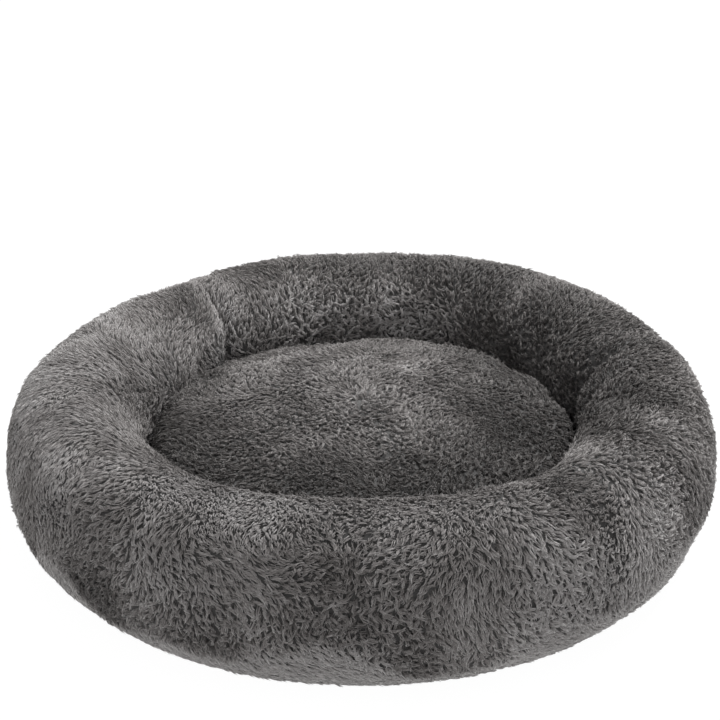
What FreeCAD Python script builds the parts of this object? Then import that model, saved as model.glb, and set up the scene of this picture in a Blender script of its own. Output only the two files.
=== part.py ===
import FreeCAD, Part
import math
import os

# Round pet bed: a plush ring round a well, with a loose domed cushion in the well.
# Millimetres, +Z up. The origin is the middle of the underside, on the ground.

# ---- ring (bolster) ----
OUTER_RADIUS = 350.0        # widest reach of the pile, at the ring's widest level
RING_HALF_WIDTH = 68.0      # half the ring's width where it is widest
RING_HEIGHT = 158.0         # top of the ring's pile
RING_TOP_ARC = 64.0         # radius of the section's rounded top
RING_SIDE_ARC = 119.0       # radius of the section's flatter sides
PLUSH = 12.0                # backing and pile together
LINER_GAP = 0.3             # clearance between one layer and the next
LINER_THICKNESS = 0.8       # non-woven inner bags
SEAM_RIGHT_DEG = 5.0        # the two radial seams that join the ring's plush strips
SEAM_LEFT_DEG = 130.0
SEAM_GAP = 0.4              # width of each joining seam

# ---- base and well ----
BASE_RADIUS = 321.5
BASE_THICKNESS = 1.2        # woven panel with its grip dots
PADDING_RADIUS = 224.0
PADDING_TOP = 19.5
WELL_FLOOR_RADIUS = 225.6
WELL_FLOOR_THICKNESS = 0.8

# ---- loose cushion ----
CUSHION_BASE_RADIUS = 199.8  # woven pan under the cushion
CUSHION_BASE_THICKNESS = 1.0
CUSHION_BASE_BEND = 6.0      # rounding of the pan's lower edge
CUSHION_BOTTOM = 21.0
CUSHION_SEAM_Z = 43.0        # where the woven pan meets the plush top
CUSHION_RADIUS = 212.0       # widest reach of the cushion's pile
CUSHION_WIDEST_Z = 68.0
CUSHION_SHOULDER = 32.0      # rounding between side and dome
CUSHION_TOP = 124.0          # top of the dome

# ---- zips: tapes, two rows of teeth, stops, slider, pull ----
BED_ZIP_RADIUS = 320.0
BED_ZIP_Z = 11.8
BED_ZIP_SPAN = (30.0, 150.0)       # degrees round the bed, over the back
CUSHION_ZIP_RADIUS = 199.2
CUSHION_ZIP_Z = 34.0
CUSHION_ZIP_SPAN = (40.0, 140.0)
TAPE_THICKNESS = 0.8
TAPE_REACH = 9.0                   # from the zip's middle to a tape's far edge
ROW_INNER = 0.55                   # half the gap between the two rows of teeth
ROW_OUTER = 3.0
ROW_THICKNESS = 2.6
STOP_LENGTH = 3.0
STOP_THICKNESS = 3.4
SLIDER_LENGTH = 14.0
SLIDER_HALF_HEIGHT = 6.0
SLIDER_PLATE = 1.2
SLIDER_REACH = 2.9                 # from the tape's middle to a plate's outer face
SLIDER_WEB = 0.5                   # post that runs between the two rows
SLIDER_RIM = 1.0
BAIL_HALF_LENGTH = 4.2
BAIL_HALF_HEIGHT = 1.1
BAIL_BAR = 0.9
BAIL_REACH = 5.9
PIVOT_REACH = 4.0                  # from the tape's middle to the pull's pivot
PIVOT_OFFSET = 1.8                 # along the zip, from the slider's middle
PIVOT_RADIUS = 0.6
PULL_THICKNESS = 1.2
PULL_ARM_INNER = 1.9
PULL_ARM_OUTER = 3.3
PULL_ARM_LENGTH = 7.0
PULL_TAB_HALF_HEIGHT = 3.6
BED_PULL_LENGTH = 24.0
CUSHION_PULL_LENGTH = 15.0
ZIP_POCKET_TOP = 10.5              # plush stays this far above the zip's middle
ZIP_POCKET_DEPTH = 3.5             # from the tape's middle into the ring

# ---- label ----
LABEL_ANGLE = 38.0
LABEL_LENGTH = 22.0
LABEL_WIDTH = 28.0
LABEL_THICKNESS = 0.8
LABEL_BOTTOM = 0.3

OVERRUN = 20.0                     # how far cutting shapes run past what they cut
Z_AXIS = FreeCAD.Vector(0, 0, 1)
ORIGIN = FreeCAD.Vector(0, 0, 0)
RING_CENTRE = OUTER_RADIUS - RING_HALF_WIDTH


def point(r, z):
    """A point of a half section: radius and height."""
    return FreeCAD.Vector(r, 0, z)


def arc(start, middle, end):
    return Part.Arc(start, middle, end).toShape()


def on_circle(centre, radius, angle):
    return point(centre[0] + radius * math.cos(angle), centre[1] + radius * math.sin(angle))


def arc_about(centre, radius, first, last):
    """The arc of one circle between two angles in radians."""
    middle = 0.5 * (first + last)
    return arc(
        on_circle(centre, radius, first),
        on_circle(centre, radius, middle),
        on_circle(centre, radius, last),
    )


def spin(edges, start_deg=0.0, span_deg=360.0):
    """Turn a closed half section about the bed's axis into a solid."""
    face = Part.Face(Part.Wire(edges))
    face.rotate(ORIGIN, Z_AXIS, start_deg)
    return face.revolve(ORIGIN, Z_AXIS, span_deg)


def band(r_low, r_high, z_low, z_high, start_deg=0.0, span_deg=360.0):
    """A band with a rectangular section, all the way round or over a span."""
    corners = [point(r_low, z_low), point(r_high, z_low), point(r_high, z_high), point(r_low, z_high)]
    edges = []
    for i in range(4):
        edges.append(Part.makeLine(corners[i], corners[(i + 1) % 4]))
    return spin(edges, start_deg, span_deg)


def disc(radius, z_low, z_high):
    return Part.makeCylinder(radius, z_high - z_low, FreeCAD.Vector(0, 0, z_low))


def ring_section(inset, z_low):
    """Closed outline of the ring, set in from the pile's surface and cut off flat at z_low."""
    share = (RING_SIDE_ARC - RING_HALF_WIDTH) / (RING_SIDE_ARC - RING_TOP_ARC)
    joint = math.acos(share)
    top_centre_z = RING_HEIGHT - RING_TOP_ARC
    side_centre_z = top_centre_z - (RING_SIDE_ARC - RING_TOP_ARC) * math.sin(joint)
    side_radius = RING_SIDE_ARC - inset
    top_radius = RING_TOP_ARC - inset
    foot = math.asin((z_low - side_centre_z) / side_radius)
    offset = RING_SIDE_ARC - RING_HALF_WIDTH
    outer_centre = (RING_CENTRE - offset, side_centre_z)
    inner_centre = (RING_CENTRE + offset, side_centre_z)
    outer_foot = on_circle(outer_centre, side_radius, foot)
    inner_foot = on_circle(inner_centre, side_radius, math.pi - foot)
    return [
        arc_about(outer_centre, side_radius, foot, joint),
        arc_about((RING_CENTRE, top_centre_z), top_radius, joint, math.pi - joint),
        arc_about(inner_centre, side_radius, math.pi - joint, math.pi - foot),
        Part.makeLine(inner_foot, outer_foot),
    ]


def zip_pocket(clear, z_high):
    """Room for the bed's zip in the ring's rear foot."""
    r_low = BED_ZIP_RADIUS - ZIP_POCKET_DEPTH - clear
    extra = math.degrees(clear / BED_ZIP_RADIUS)
    start = BED_ZIP_SPAN[0] - extra
    span = BED_ZIP_SPAN[1] - BED_ZIP_SPAN[0] + 2 * extra
    return band(r_low, OUTER_RADIUS + OVERRUN, -OVERRUN, z_high + clear, start, span)


def ring_core(inset, z_low, clear):
    """A filled ring with the zip's pocket pressed into it."""
    return spin(ring_section(inset, z_low)).cut(zip_pocket(clear, BED_ZIP_Z + ZIP_POCKET_TOP))


def cushion_section(inset, z_low, base_radius):
    """Half outline of the cushion: flat below, bulging side, shoulder and dome."""
    shoulder_centre = (CUSHION_RADIUS - CUSHION_SHOULDER, CUSHION_WIDEST_Z)
    reach = CUSHION_TOP - CUSHION_SHOULDER - CUSHION_WIDEST_Z
    drop = (shoulder_centre[0] ** 2 - reach ** 2) / (2.0 * reach)
    dome_centre = (0.0, CUSHION_WIDEST_Z - drop)
    dome_radius = CUSHION_TOP - dome_centre[1] - inset
    joint = math.atan2(drop, shoulder_centre[0])
    shoulder_radius = CUSHION_SHOULDER - inset
    side_top = on_circle(shoulder_centre, shoulder_radius, 0.0)
    axis_top = point(0.0, CUSHION_TOP - inset)
    shoulder = arc_about(shoulder_centre, shoulder_radius, 0.0, joint)
    dome = arc_about(dome_centre, dome_radius, joint, 0.5 * math.pi)
    foot = point(base_radius, z_low)
    if base_radius < side_top.x:
        lift = 0.5 * (side_top.z - z_low)
        bow = point(base_radius + 0.7 * (side_top.x - base_radius), z_low + lift)
        side = arc(foot, bow, side_top)
    else:
        side = Part.makeLine(point(side_top.x, z_low), side_top)
        foot = point(side_top.x, z_low)
    return [
        side,
        shoulder,
        dome,
        Part.makeLine(axis_top, point(0.0, z_low)),
        Part.makeLine(point(0.0, z_low), foot),
    ]


def pan(radius, z_low, z_high, bend):
    """A flat-bottomed round block with a rounded lower edge."""
    edges = [
        Part.makeLine(point(0.0, z_low), point(radius - bend, z_low)),
        arc_about((radius - bend, z_low + bend), bend, -0.5 * math.pi, 0.0),
        Part.makeLine(point(radius, z_low + bend), point(radius, z_high)),
        Part.makeLine(point(radius, z_high), point(0.0, z_high)),
        Part.makeLine(point(0.0, z_high), point(0.0, z_low)),
    ]
    return spin(edges)


def cushion_core(inset):
    """The cushion's filled body inside its covers."""
    radius = CUSHION_BASE_RADIUS - CUSHION_BASE_THICKNESS - inset
    z_low = CUSHION_BOTTOM + CUSHION_BASE_THICKNESS + inset
    bend = CUSHION_BASE_BEND - CUSHION_BASE_THICKNESS
    lower = pan(radius, z_low, CUSHION_WIDEST_Z, bend)
    upper_inset = CUSHION_RADIUS - radius
    upper = spin(cushion_section(upper_inset, CUSHION_WIDEST_Z - bend, OUTER_RADIUS))
    core = lower.fuse(upper).removeSplitter()
    pocket_extra = math.degrees(inset / CUSHION_ZIP_RADIUS)
    pocket = band(
        CUSHION_ZIP_RADIUS - ZIP_POCKET_DEPTH - inset,
        OUTER_RADIUS,
        CUSHION_ZIP_Z - ZIP_POCKET_TOP - inset,
        CUSHION_ZIP_Z + ZIP_POCKET_TOP + inset,
        CUSHION_ZIP_SPAN[0] - pocket_extra,
        CUSHION_ZIP_SPAN[1] - CUSHION_ZIP_SPAN[0] + 2 * pocket_extra,
    )
    return core.cut(pocket)


def block(r_low, r_high, y_low, y_high, z_low, z_high):
    """A box on the +X side of the bed: r across the zip, y along it."""
    return Part.makeBox(r_high - r_low, y_high - y_low, z_high - z_low, FreeCAD.Vector(r_low, y_low, z_low))


def rounded(shape, radius, direction):
    """Round the edges of a box that run along one direction."""
    edges = []
    for edge in shape.Edges:
        run = edge.Vertexes[1].Point - edge.Vertexes[0].Point
        if abs(run.normalize().dot(direction)) > 0.99:
            edges.append(edge)
    return shape.makeFillet(radius, edges)


def zip_slider(radius, z_mid):
    """Two plates on a thin post, with rims that hold the rows and a bail for the pull."""
    half = 0.5 * SLIDER_LENGTH
    body = block(radius - SLIDER_REACH, radius + SLIDER_REACH, -half + 2, half - 2,
                 z_mid - 0.5 * SLIDER_WEB, z_mid + 0.5 * SLIDER_WEB)
    for side in (-1, 1):
        far = radius + side * SLIDER_REACH
        near = far - side * SLIDER_PLATE
        plate = block(min(far, near), max(far, near), -half, half,
                      z_mid - SLIDER_HALF_HEIGHT, z_mid + SLIDER_HALF_HEIGHT)
        body = body.fuse(rounded(plate, 3.0, FreeCAD.Vector(1, 0, 0)))
        rim_near = near - side * 0.8
        for end in (-1, 1):
            z_far = z_mid + end * SLIDER_HALF_HEIGHT
            z_near = z_far - end * SLIDER_RIM
            rim = block(min(near, rim_near), max(near, rim_near), -half + 3, half - 3,
                        min(z_far, z_near), max(z_far, z_near))
            body = body.fuse(rim)
    arch = block(radius + SLIDER_REACH - 0.2, radius + BAIL_REACH, -BAIL_HALF_LENGTH, BAIL_HALF_LENGTH,
                 z_mid - BAIL_HALF_HEIGHT, z_mid + BAIL_HALF_HEIGHT)
    room = block(radius + SLIDER_REACH - 1.0, radius + BAIL_REACH - BAIL_BAR,
                 -BAIL_HALF_LENGTH + BAIL_BAR, BAIL_HALF_LENGTH - BAIL_BAR,
                 z_mid - OVERRUN, z_mid + OVERRUN)
    room = room.common(block(radius + SLIDER_REACH, radius + OVERRUN, -half, half,
                             z_mid - OVERRUN, z_mid + OVERRUN))
    return body.fuse(arch.cut(room)).removeSplitter()


def zip_pull(radius, z_mid, length):
    """A tab on two arms whose crossbar turns inside the slider's bail."""
    r_mid = radius + PIVOT_REACH
    r_low = r_mid - 0.5 * PULL_THICKNESS
    r_high = r_mid + 0.5 * PULL_THICKNESS
    y_eye = -PIVOT_OFFSET
    y_tab = y_eye - PULL_ARM_LENGTH
    y_end = y_eye - length
    pull = Part.makeCylinder(PIVOT_RADIUS, 2 * PULL_ARM_OUTER, FreeCAD.Vector(r_mid, y_eye, z_mid - PULL_ARM_OUTER))
    for side in (-1, 1):
        z_a = z_mid + side * PULL_ARM_INNER
        z_b = z_mid + side * PULL_ARM_OUTER
        arm = block(r_low, r_high, y_tab - 0.5, y_eye, min(z_a, z_b), max(z_a, z_b))
        pull = pull.fuse(arm)
    tab = block(r_low, r_high, y_end, y_tab, z_mid - PULL_TAB_HALF_HEIGHT, z_mid + PULL_TAB_HALF_HEIGHT)
    pull = pull.fuse(rounded(tab, 2.0, FreeCAD.Vector(1, 0, 0)))
    return pull.removeSplitter()


def zip_parts(name, radius, z_mid, span, pull_length):
    """Every piece of one zip whose closed end is at the larger angle."""
    pieces = {}
    start = span[0] + 1.0
    end = span[1] - 1.0
    stop_deg = math.degrees(STOP_LENGTH / radius)
    half_tape = 0.5 * TAPE_THICKNESS
    half_row = 0.5 * ROW_THICKNESS
    half_stop = 0.5 * STOP_THICKNESS
    gap_deg = math.degrees(0.3 / radius)
    row_start = start + stop_deg + gap_deg
    row_span = end - start - 2 * (stop_deg + gap_deg)
    top_stops = []
    for side, label in ((1, "upper"), (-1, "lower")):
        z_a = z_mid + side * (ROW_OUTER + LINER_GAP)
        z_b = z_mid + side * TAPE_REACH
        pieces[name + "_tape_" + label] = band(
            radius - half_tape, radius + half_tape, min(z_a, z_b), max(z_a, z_b), start, end - start)
        z_a = z_mid + side * ROW_INNER
        z_b = z_mid + side * ROW_OUTER
        low, high = min(z_a, z_b), max(z_a, z_b)
        pieces[name + "_teeth_" + label] = band(
            radius - half_row, radius + half_row, low, high, row_start, row_span)
        top_stops.append(band(radius - half_stop, radius + half_stop, low, high, end - stop_deg, stop_deg))
    pieces[name + "_top_stops"] = Part.makeCompound(top_stops)
    pieces[name + "_bottom_stop"] = band(
        radius - half_stop, radius + half_stop, z_mid - ROW_OUTER, z_mid + ROW_OUTER, start, stop_deg)
    rest_deg = end - 2 * stop_deg - math.degrees(0.5 * SLIDER_LENGTH / radius)
    slider = zip_slider(radius, z_mid)
    slider.rotate(ORIGIN, Z_AXIS, rest_deg)
    pieces[name + "_slider"] = slider
    pull = zip_pull(radius, z_mid, pull_length)
    pull.rotate(ORIGIN, Z_AXIS, rest_deg)
    pieces[name + "_pull"] = pull
    return pieces


parts = {}

# ring cover: an arch of plush over the filling, in two lengths, notched over the zip
cover_foot = BASE_THICKNESS + LINER_GAP
for cover_name, first_deg, last_deg in (
    ("bolster_cover_rear", SEAM_RIGHT_DEG, SEAM_LEFT_DEG),
    ("bolster_cover_front", SEAM_LEFT_DEG, SEAM_RIGHT_DEG + 360.0),
):
    trim = math.degrees(0.5 * SEAM_GAP / RING_CENTRE)
    first_deg = first_deg + trim
    arc_deg = last_deg - trim - first_deg
    shell = spin(ring_section(0.0, cover_foot), first_deg, arc_deg)
    shell = shell.cut(spin(ring_section(PLUSH, 0.0)))
    notch = zip_pocket(2.0 * PLUSH, BED_ZIP_Z + ZIP_POCKET_TOP - 2.0 * PLUSH)
    parts[cover_name] = shell.cut(notch)

bag_inset = PLUSH + LINER_GAP
bag_low = BASE_THICKNESS + LINER_GAP
bag = ring_core(bag_inset, bag_low, 0.0)
bag_inside = ring_core(bag_inset + LINER_THICKNESS, bag_low + LINER_THICKNESS, LINER_THICKNESS)
parts["bolster_liner"] = bag.cut(bag_inside)
fill_step = LINER_THICKNESS + LINER_GAP
parts["bolster_fill"] = ring_core(bag_inset + fill_step, bag_low + fill_step, fill_step)

parts["base_panel"] = disc(BASE_RADIUS, 0.0, BASE_THICKNESS)
parts["base_padding"] = disc(PADDING_RADIUS, cover_foot, PADDING_TOP)
well_low = PADDING_TOP + LINER_GAP
parts["well_floor"] = disc(WELL_FLOOR_RADIUS, well_low, well_low + WELL_FLOOR_THICKNESS)

# blank care label, sewn in beside the zip and lying out over the ground
label_low = BASE_RADIUS + LINER_GAP
label = block(label_low, label_low + LABEL_LENGTH, -0.5 * LABEL_WIDTH, 0.5 * LABEL_WIDTH,
              LABEL_BOTTOM, LABEL_BOTTOM + LABEL_THICKNESS)
label.rotate(ORIGIN, Z_AXIS, LABEL_ANGLE)
parts["care_label"] = label

parts.update(zip_parts("bed_zip", BED_ZIP_RADIUS, BED_ZIP_Z, BED_ZIP_SPAN, BED_PULL_LENGTH))

# cushion: plush dome over a woven pan, with the zip in the seam between them
top_low = CUSHION_SEAM_Z + LINER_GAP
dome = spin(cushion_section(0.0, top_low, CUSHION_BASE_RADIUS + 4.0))
dome_inside = spin(cushion_section(PLUSH, top_low - OVERRUN, OUTER_RADIUS))
parts["cushion_cover_top"] = dome.cut(dome_inside)
pan_outside = pan(CUSHION_BASE_RADIUS, CUSHION_BOTTOM, CUSHION_SEAM_Z, CUSHION_BASE_BEND)
pan_inside = pan(
    CUSHION_BASE_RADIUS - CUSHION_BASE_THICKNESS,
    CUSHION_BOTTOM + CUSHION_BASE_THICKNESS,
    CUSHION_SEAM_Z + OVERRUN,
    CUSHION_BASE_BEND - CUSHION_BASE_THICKNESS,
)
zip_window = band(
    CUSHION_ZIP_RADIUS - 10.0,
    OUTER_RADIUS,
    CUSHION_ZIP_Z - TAPE_REACH - LINER_GAP,
    CUSHION_SEAM_Z + OVERRUN,
    CUSHION_ZIP_SPAN[0],
    CUSHION_ZIP_SPAN[1] - CUSHION_ZIP_SPAN[0],
)
parts["cushion_cover_base"] = pan_outside.cut(pan_inside).cut(zip_window)
parts["cushion_liner"] = cushion_core(LINER_GAP).cut(cushion_core(LINER_GAP + LINER_THICKNESS))
parts["cushion_fill"] = cushion_core(LINER_GAP + fill_step)
parts.update(
    zip_parts("cushion_zip", CUSHION_ZIP_RADIUS, CUSHION_ZIP_Z, CUSHION_ZIP_SPAN, CUSHION_PULL_LENGTH))

os.makedirs("parts", exist_ok=True)
for node_name, shape in parts.items():
    shape.exportStep("parts/" + node_name + ".step")
    box = shape.BoundBox
    print("%-26s solids %d valid %s volume %.1f cm3  z %.1f..%.1f  r %.1f" % (
        node_name, len(shape.Solids), shape.isValid(), shape.Volume / 1000.0, box.ZMin, box.ZMax, box.XMax))
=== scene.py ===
import math

import bpy
import numpy as np
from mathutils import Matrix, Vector


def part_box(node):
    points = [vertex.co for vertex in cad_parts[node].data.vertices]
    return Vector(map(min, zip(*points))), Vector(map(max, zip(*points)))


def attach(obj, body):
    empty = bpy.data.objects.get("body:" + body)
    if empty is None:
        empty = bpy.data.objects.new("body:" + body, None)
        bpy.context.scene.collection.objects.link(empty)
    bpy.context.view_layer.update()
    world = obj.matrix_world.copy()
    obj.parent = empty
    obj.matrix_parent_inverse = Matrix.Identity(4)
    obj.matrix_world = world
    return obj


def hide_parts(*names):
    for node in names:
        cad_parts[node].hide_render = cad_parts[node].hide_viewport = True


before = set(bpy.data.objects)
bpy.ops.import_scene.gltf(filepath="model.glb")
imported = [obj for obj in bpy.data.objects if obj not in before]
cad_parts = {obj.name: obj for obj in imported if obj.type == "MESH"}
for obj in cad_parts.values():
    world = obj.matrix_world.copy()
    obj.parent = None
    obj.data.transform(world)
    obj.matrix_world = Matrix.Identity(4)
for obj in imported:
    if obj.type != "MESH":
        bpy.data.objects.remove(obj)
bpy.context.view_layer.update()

# ---- sizes, in metres
RING_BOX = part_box("bolster_cover_front")
OUTER_RADIUS = RING_BOX[1][0]
RING_HEIGHT = RING_BOX[1][2]
RING_HALF_WIDTH = 0.068
RING_TOP_ARC = 0.064
RING_SIDE_ARC = 0.119
RING_CENTRE = OUTER_RADIUS - RING_HALF_WIDTH
SEAM_RIGHT_DEG = 5.0
SEAM_LEFT_DEG = 130.0
SEAM_CREASES = (  # seam, distance along the ring, half width and depth of each crease
    (SEAM_LEFT_DEG, 0.0, 0.009, 0.0090),
    (SEAM_RIGHT_DEG, 0.023, 0.013, 0.0100),
    (SEAM_RIGHT_DEG, -0.020, 0.010, 0.0060),
)
SEAM_NOTCH = 0.0010  # each crease is a little sharper at its bottom
SEAM_NOTCH_REACH = 0.006

DOME_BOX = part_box("cushion_cover_top")
CUSHION_RADIUS = DOME_BOX[1][0]
CUSHION_TOP = DOME_BOX[1][2]
CUSHION_SEAM_Z = DOME_BOX[0][2]
CUSHION_WIDEST_Z = 0.075
CUSHION_SHOULDER = 0.025

BASE_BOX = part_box("base_panel")
BASE_RADIUS = BASE_BOX[1][0]
BASE_CLOTH_Z = BASE_BOX[0][2] + 0.0006
BASE_HEM = 0.012  # width of the base's turned edge
RING_FOOT = 0.0042  # height of the arch's two feet
RING_UNDER = 0.0024  # and of the ring's flat underside
UNDER_COLUMNS = 10
CUSHION_SEAM_INSET = 0.0122

PILE = 0.0050  # how deep the backing cloth lies under the pile's tips
SWELL = 0.0030  # the cloth stands this much further out once it is filled
FILL_LUMP = 0.0022  # unevenness of the filling under the cover
INNER_BAG_DEPTH = 0.0022  # how deep the inner bags and the fibre lie under the ring's cloth
FIBRE_DEPTH = 0.0045
CUSHION_BAG_DEPTH = 0.0024  # how deep each inner layer of the cushion lies under the one outside it
BAG_FLOOR = 0.0245  # height of the flat underside of the cushion's inner bag
CLOTH_PRESSURE = 4.0
CLOTH_FRAMES = 20
CLOTH_CAP = 0.012  # furthest the cloth simulation may move a point
RING_CREASE = 0.004  # furthest its creases may leave the mean section of the ring
CUSHION_CREASE = 0.002  # and of the cushion
OVAL = 0.0045  # the soft ring is this much out of round
OVAL_HEADING = 33.0  # where it reaches out furthest, in degrees
BULGES = (  # heading, half width in degrees and reach of each local bulge or hollow
    (45, 15, -0.0045),
    (14, 13, 0.0045),
    (145, 16, -0.0050),
    (192, 20, -0.0030),
    (309, 20, 0.0065),
)

ZIP_SPAN = {"bed_zip": (30.0, 150.0), "cushion_zip": (40.0, 140.0)}
ZIP_RADIUS = {"bed_zip": 0.3200, "cushion_zip": 0.1992}
ZIP_END_DEG = 4.3  # the cover closes over the zip's ends within this turn
TAPE_INSET_DEG = 1.0  # the sewn length of a tape is this much shorter at each end
TAPE_TAIL_DEG = {"bed_zip": 5.3, "cushion_zip": 3.0}
TAPE_SHOWN = 0.0002  # the cover ends this far over the tape
HEM_EDGE = 0.0006  # and this far outside it
BED_TAPE_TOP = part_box("bed_zip_tape_upper")[1][2]
TAPE_HALF = 0.00032  # half a tape's thickness
INNER_LAYER_DEG = 5.0  # the inner layers keep back from the zip this much past its ends
INNER_LAYER_RISE = 0.005  # and this much over the cover's own edge
SHELF_DEPTH = 0.006  # where they step in, what lies this little below the step
SHELF_DROP = 0.002  # is levelled this far below it
HEM_SLOPE = 0.35  # how far the cover's hem leans in behind the tape
HEM_COLUMNS = 4  # columns of the cover that turn in under the ring
FOOT_COLUMNS = 8  # columns at its outer foot, which are made four times as fine
ZIP_PILE_CLEAR = 0.003  # no pile this close over the bed's zip
WELL_BARE_Z = 0.024  # no pile on the ring's inner side below this
WELL_THIN_Z = 0.055  # and below this it is thinned by the next share
WELL_THINNED = 0.4
RIM_CLEAR = 0.005  # no pile this close over the cushion's seam, where its zip is
GUARD_MARGIN = 0.0016  # how far the strip behind a zip reaches below it, and half of that above
GUARD_DEPTH = 0.0011
GUARD_THICK = 0.0004
END_STOP = 0.0033  # room for a stop at each end of the coil
COIL_PITCH = 0.0017
COIL_REACH = 0.00085  # radius of the coil's turns
COIL_OFFSET = 0.00178  # from the zip's middle line to a coil's own middle
COIL_WIRE = 0.00034
COIL_SIDES = 8  # points in each turn
BASE_INSET = 0.009
QUILT_PITCH = 0.05
QUILT_DEPTH = 0.0026
QUILT_SLOPE = 0.006
PAN_BEND = 0.006
GATHERS = 96
GATHER_DEPTH = 0.0005
STITCH = 0.0026
STITCH_GAP = 0.0012
STITCH_INSET = 0.0012  # from a tape's outer edge
STITCH_OUT = 0.0004  # and from its middle
THREAD_RADIUS = 0.00028
THREAD_SIDES = 5  # corners round a stitch or a coil's wire
HEM_STITCH_INSET = 0.006
DOT_PITCH = 0.014
DOT_ROW_PITCH = DOT_PITCH * 0.866
DOT_RADIUS = 0.0018
DOT_SIDES = 8
DOT_MARGIN = 0.016  # no dot this close to the base's edge
LABEL_LENGTH = 0.0220
LABEL_WIDTH = 0.0280
LABEL_CURL = 0.0028  # how far its end lifts
LABEL_PLY = 0.00045  # between its two layers

FLOOR_GLOW = 0.97
FLOOR_WHITE = 0.05
FLOOR_REACH = 6.0
WORLD = 1.08
LAMP_PLACE = (1.0, 0.85, 2.35)
LAMP_AIM = (0, 0, 0.1)
LAMP_SIZE = 1.3
LAMP_POWER = 115
CAMERA_PLACE = (-0.002, -1.769, 1.013)
CAMERA_DOWN_DEG = 25.6  # how far the camera looks down

RING_STEPS = 288  # grid points round the ring and across it, then the same for the cushion
SECTION_STEPS = 64
DOME_STEPS = 180
DOME_COLS = 70

# ---- small helpers


FLAT = np.array([1, 1, 0])  # keeps x and y, and drops z


def unit(v):
    return v / np.maximum(np.linalg.norm(v, axis=-1, keepdims=True), 1e-12)


def waves(points, size, seed, count=24):
    """Smooth seeded noise with a spread of about 1 and features of about one size."""
    rng = np.random.default_rng(seed)
    way = unit(rng.normal(size=(count, 3)))
    rate = 2 * np.pi / size * rng.uniform(0.55, 1.35, count)
    phase = rng.uniform(0, 2 * np.pi, count)
    flat = points.reshape(-1, 3)
    total = np.sin(flat @ (way * rate[:, None]).T + phase).sum(axis=1)
    return (total * math.sqrt(2.0 / count)).reshape(points.shape[:-1])


def radius_of(points):
    """Distance from the bed's axis."""
    return np.linalg.norm(points[..., :2], axis=-1)


def heading_of(points):
    """Heading round the bed in degrees, from 0 to 360."""
    return np.degrees(np.arctan2(points[..., 1], points[..., 0])) % 360


def off_heading(points, heading):
    """Signed turn in degrees from a heading to each point."""
    return (heading_of(points) - heading + 180) % 360 - 180


def smoothstep(x, low, high):
    t = np.clip((x - low) / (high - low), 0, 1)
    return t * t * (3 - 2 * t)


def add_object(name, data):
    ob = bpy.data.objects.new(name, data)
    bpy.context.scene.collection.objects.link(ob)
    return ob


def new_mesh(name, verts, *face_groups):
    """A smooth mesh object from points and arrays of faces; an array's faces have equal corner counts."""
    verts = np.asarray(verts, np.float32).reshape(-1, 3)
    flat = np.concatenate([faces.ravel() for faces in face_groups]).astype(np.int32)
    sizes = np.concatenate([np.full(len(faces), faces.shape[1]) for faces in face_groups])
    me = bpy.data.meshes.new(name)
    me.vertices.add(len(verts))
    me.vertices.foreach_set("co", verts.ravel())
    me.loops.add(len(flat))
    me.loops.foreach_set("vertex_index", flat)
    me.polygons.add(len(sizes))
    me.polygons.foreach_set("loop_start", (np.cumsum(sizes) - sizes).astype(np.int32))
    me.polygons.foreach_set("use_smooth", np.full(len(sizes), True))
    me.update(calc_edges=True)
    me.validate()
    return add_object(name, me)


def repeated(faces, copies, points_each):
    """The same faces for each of several copies of a small shape."""
    first_point = (np.arange(copies) * points_each)[:, None, None]
    return (faces[None] + first_point).reshape(-1, faces.shape[1])


def grid_faces(rows, cols, wrap_rows=False, wrap_cols=False):
    """Quads over a grid of rows x cols points, as flat corner indices."""
    i = np.arange(rows if wrap_rows else rows - 1)
    j = np.arange(cols if wrap_cols else cols - 1)
    a, b = np.meshgrid(i, j, indexing="ij")
    a2, b2 = (a + 1) % rows, (b + 1) % cols
    quads = np.stack([a * cols + b, a2 * cols + b, a2 * cols + b2, a * cols + b2], axis=-1)
    return quads.reshape(-1, 4)


def grid_object(name, points, wrap_rows=True, wrap_cols=False, flip=False):
    """A surface over a grid of points. Its rows close round the bed's axis unless told otherwise."""
    quads = grid_faces(points.shape[0], points.shape[1], wrap_rows, wrap_cols)
    if flip:
        quads = quads[:, ::-1]
    return new_mesh(name, points, quads)


def coords(ob):
    out = np.empty(len(ob.data.vertices) * 3, np.float32)
    ob.data.vertices.foreach_get("co", out)
    return out.reshape(-1, 3).astype(float)


def run_along(path):
    """Length of a polyline up to each of its points."""
    step = np.linalg.norm(np.diff(path, axis=0), axis=1)
    return np.concatenate([[0], np.cumsum(step)])


def evenly(path, count):
    """Points spaced evenly along a polyline."""
    run = run_along(path)
    want = np.linspace(0, run[-1], count)
    return np.stack([np.interp(want, run, path[:, k]) for k in range(path.shape[1])], axis=1)


def arc_points(centre, radius, first, last, count=40):
    a = np.linspace(first, last, count)
    return np.stack([centre[0] + radius * np.cos(a), centre[1] + radius * np.sin(a)], axis=1)


def round_arms(a, b, sides, roll=0.0):
    """Unit arms at even turns in the plane of a and b, one for each corner of a thread."""
    turns = [roll + k * 2 * math.pi / sides for k in range(sides)]
    return [np.cos(turn) * a + np.sin(turn) * b for turn in turns]


# ---- half sections


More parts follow.
